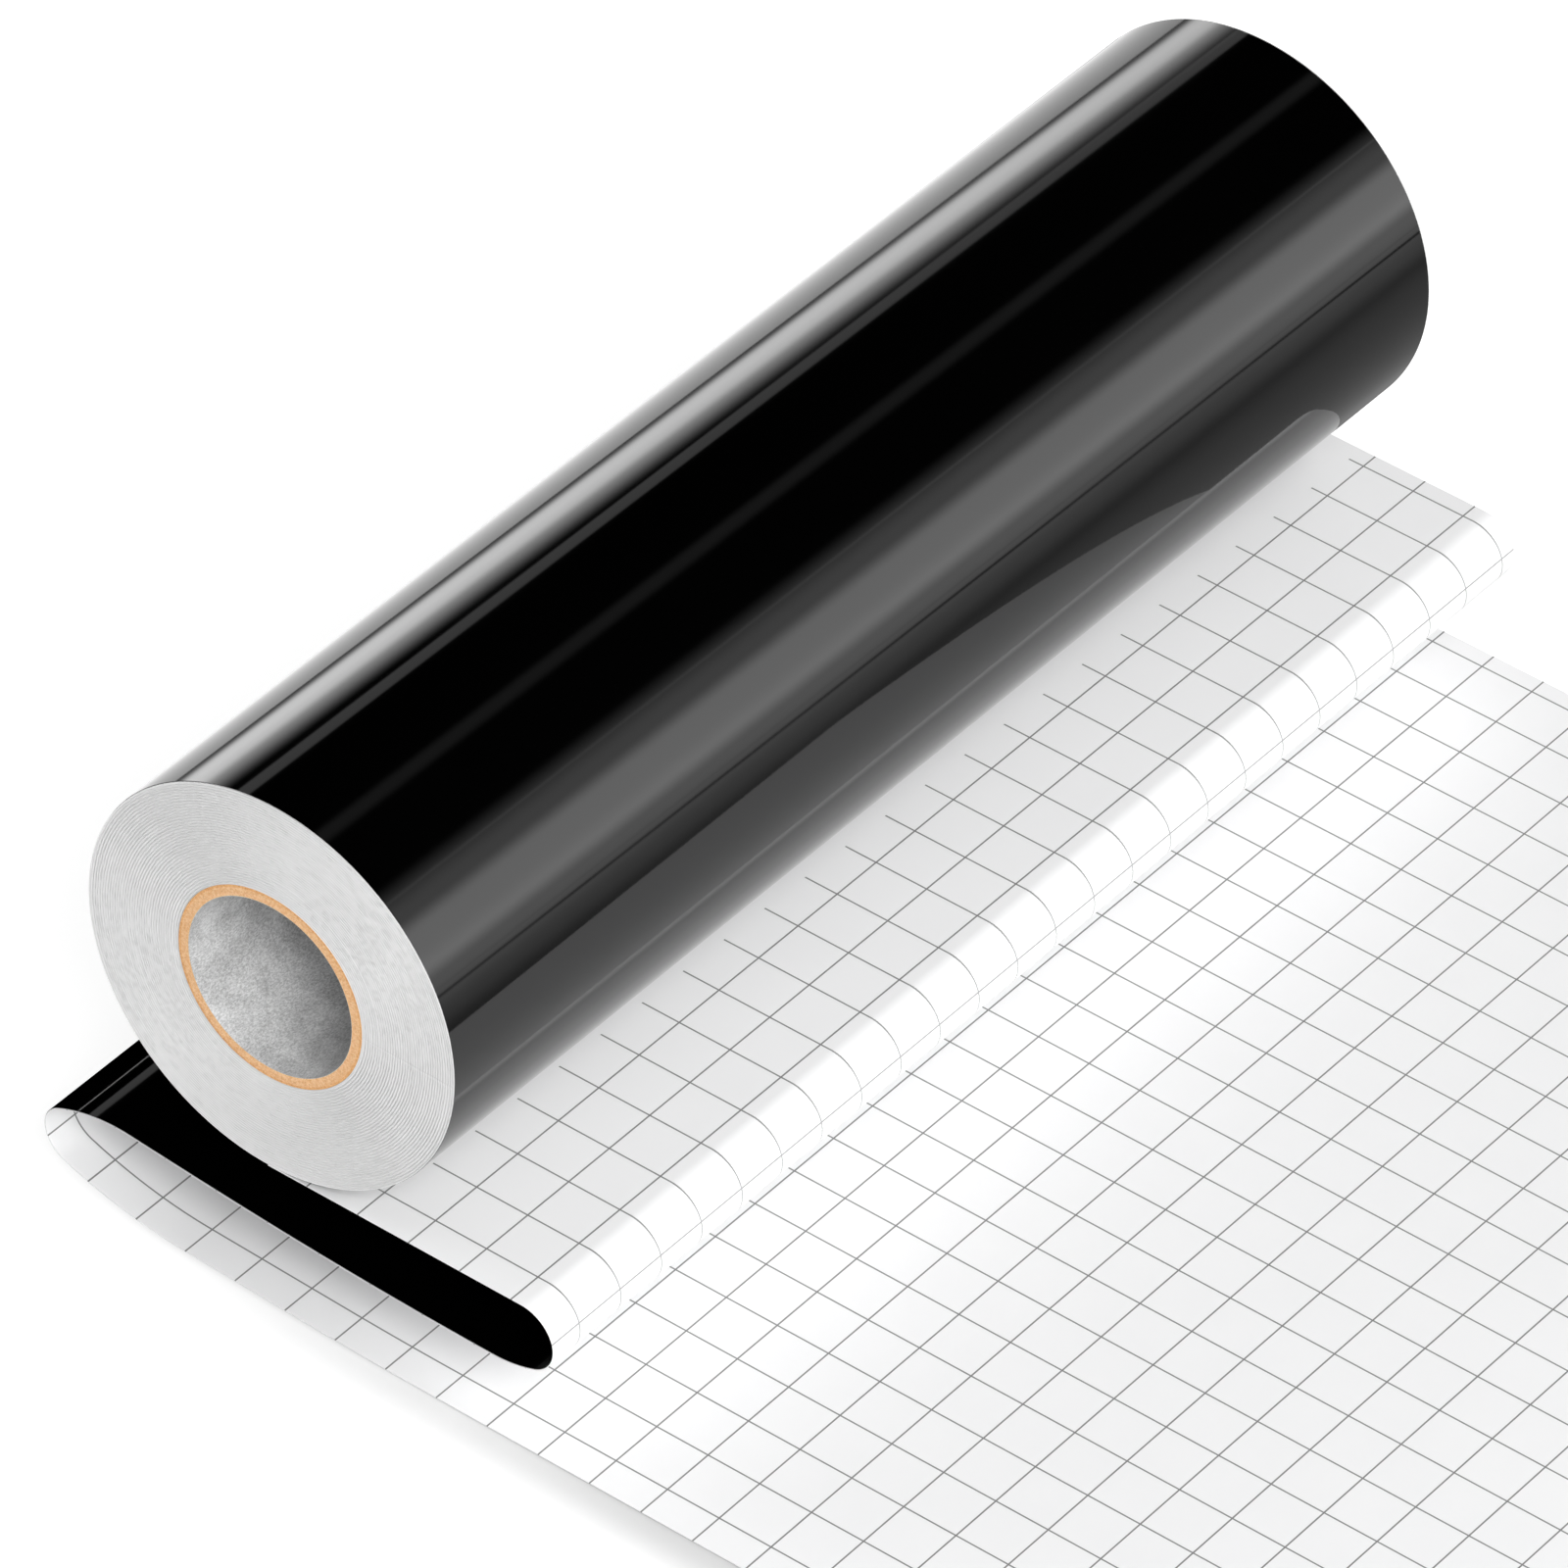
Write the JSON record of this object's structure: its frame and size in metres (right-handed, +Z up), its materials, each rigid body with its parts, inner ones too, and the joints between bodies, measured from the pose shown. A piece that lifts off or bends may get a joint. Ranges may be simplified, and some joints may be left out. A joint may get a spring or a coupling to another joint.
{
  "type": "roll of sign vinyl",
  "caption": "Roll of gloss self-adhesive sign vinyl on a paperboard core, resting on its own folded loose tail, whose release liner carries a printed cutting grid.",
  "frame": {"origin": "centre of the core's bore, half way along it", "axes": "+Y along the bore, which is the roll's axis; +X the way the loose tail runs out; +Z up"},
  "size_m": [0.3166, 0.3048, 0.1224],
  "materials": {
    "core_board_grey": "mottled grey recycled board, matte",
    "core_board": "tan board, matte",
    "core_kraft": "orange-tan kraft paper, matte",
    "start_tape": "thin tape, satin",
    "wound_web": "cut edges of the wound web, light grey, satin",
    "release_liner": "coated white release paper with a thin grey printed grid, semi-gloss",
    "adhesive": "clear greyish adhesive, satin",
    "vinyl_film": "gloss black vinyl film"
  },
  "bodies": {
    "tail": {"tail_film": "vinyl_film", "tail_adhesive": "adhesive", "tail_liner": "release_liner"},
    "roll": {"core_inner_ply": "core_board_grey", "core_body_ply_1": "core_board", "core_body_ply_2": "core_board", "core_body_ply_3": "core_board", "core_outer_ply": "core_kraft", "start_tape": "start_tape", "wound_web": "wound_web", "outer_turn_liner": "release_liner", "outer_turn_adhesive": "adhesive", "outer_turn_film": "vinyl_film"},
    "free_end": {"free_end_film": "vinyl_film", "free_end_adhesive": "adhesive", "free_end_liner": "release_liner"}
  },
  "joints": [
    {"name": "roll_spin", "type": "hinge", "parent": "tail", "child": "roll", "pos_m": [0, 0, 0], "axis": [0, 1, 0], "continuous": true},
    {"name": "free_end_lift", "type": "hinge", "parent": "tail", "child": "free_end", "pos_m": [0.12, 0, -0.07845], "axis": [0, -1, 0], "range_deg": [0, 75]}
  ]
}
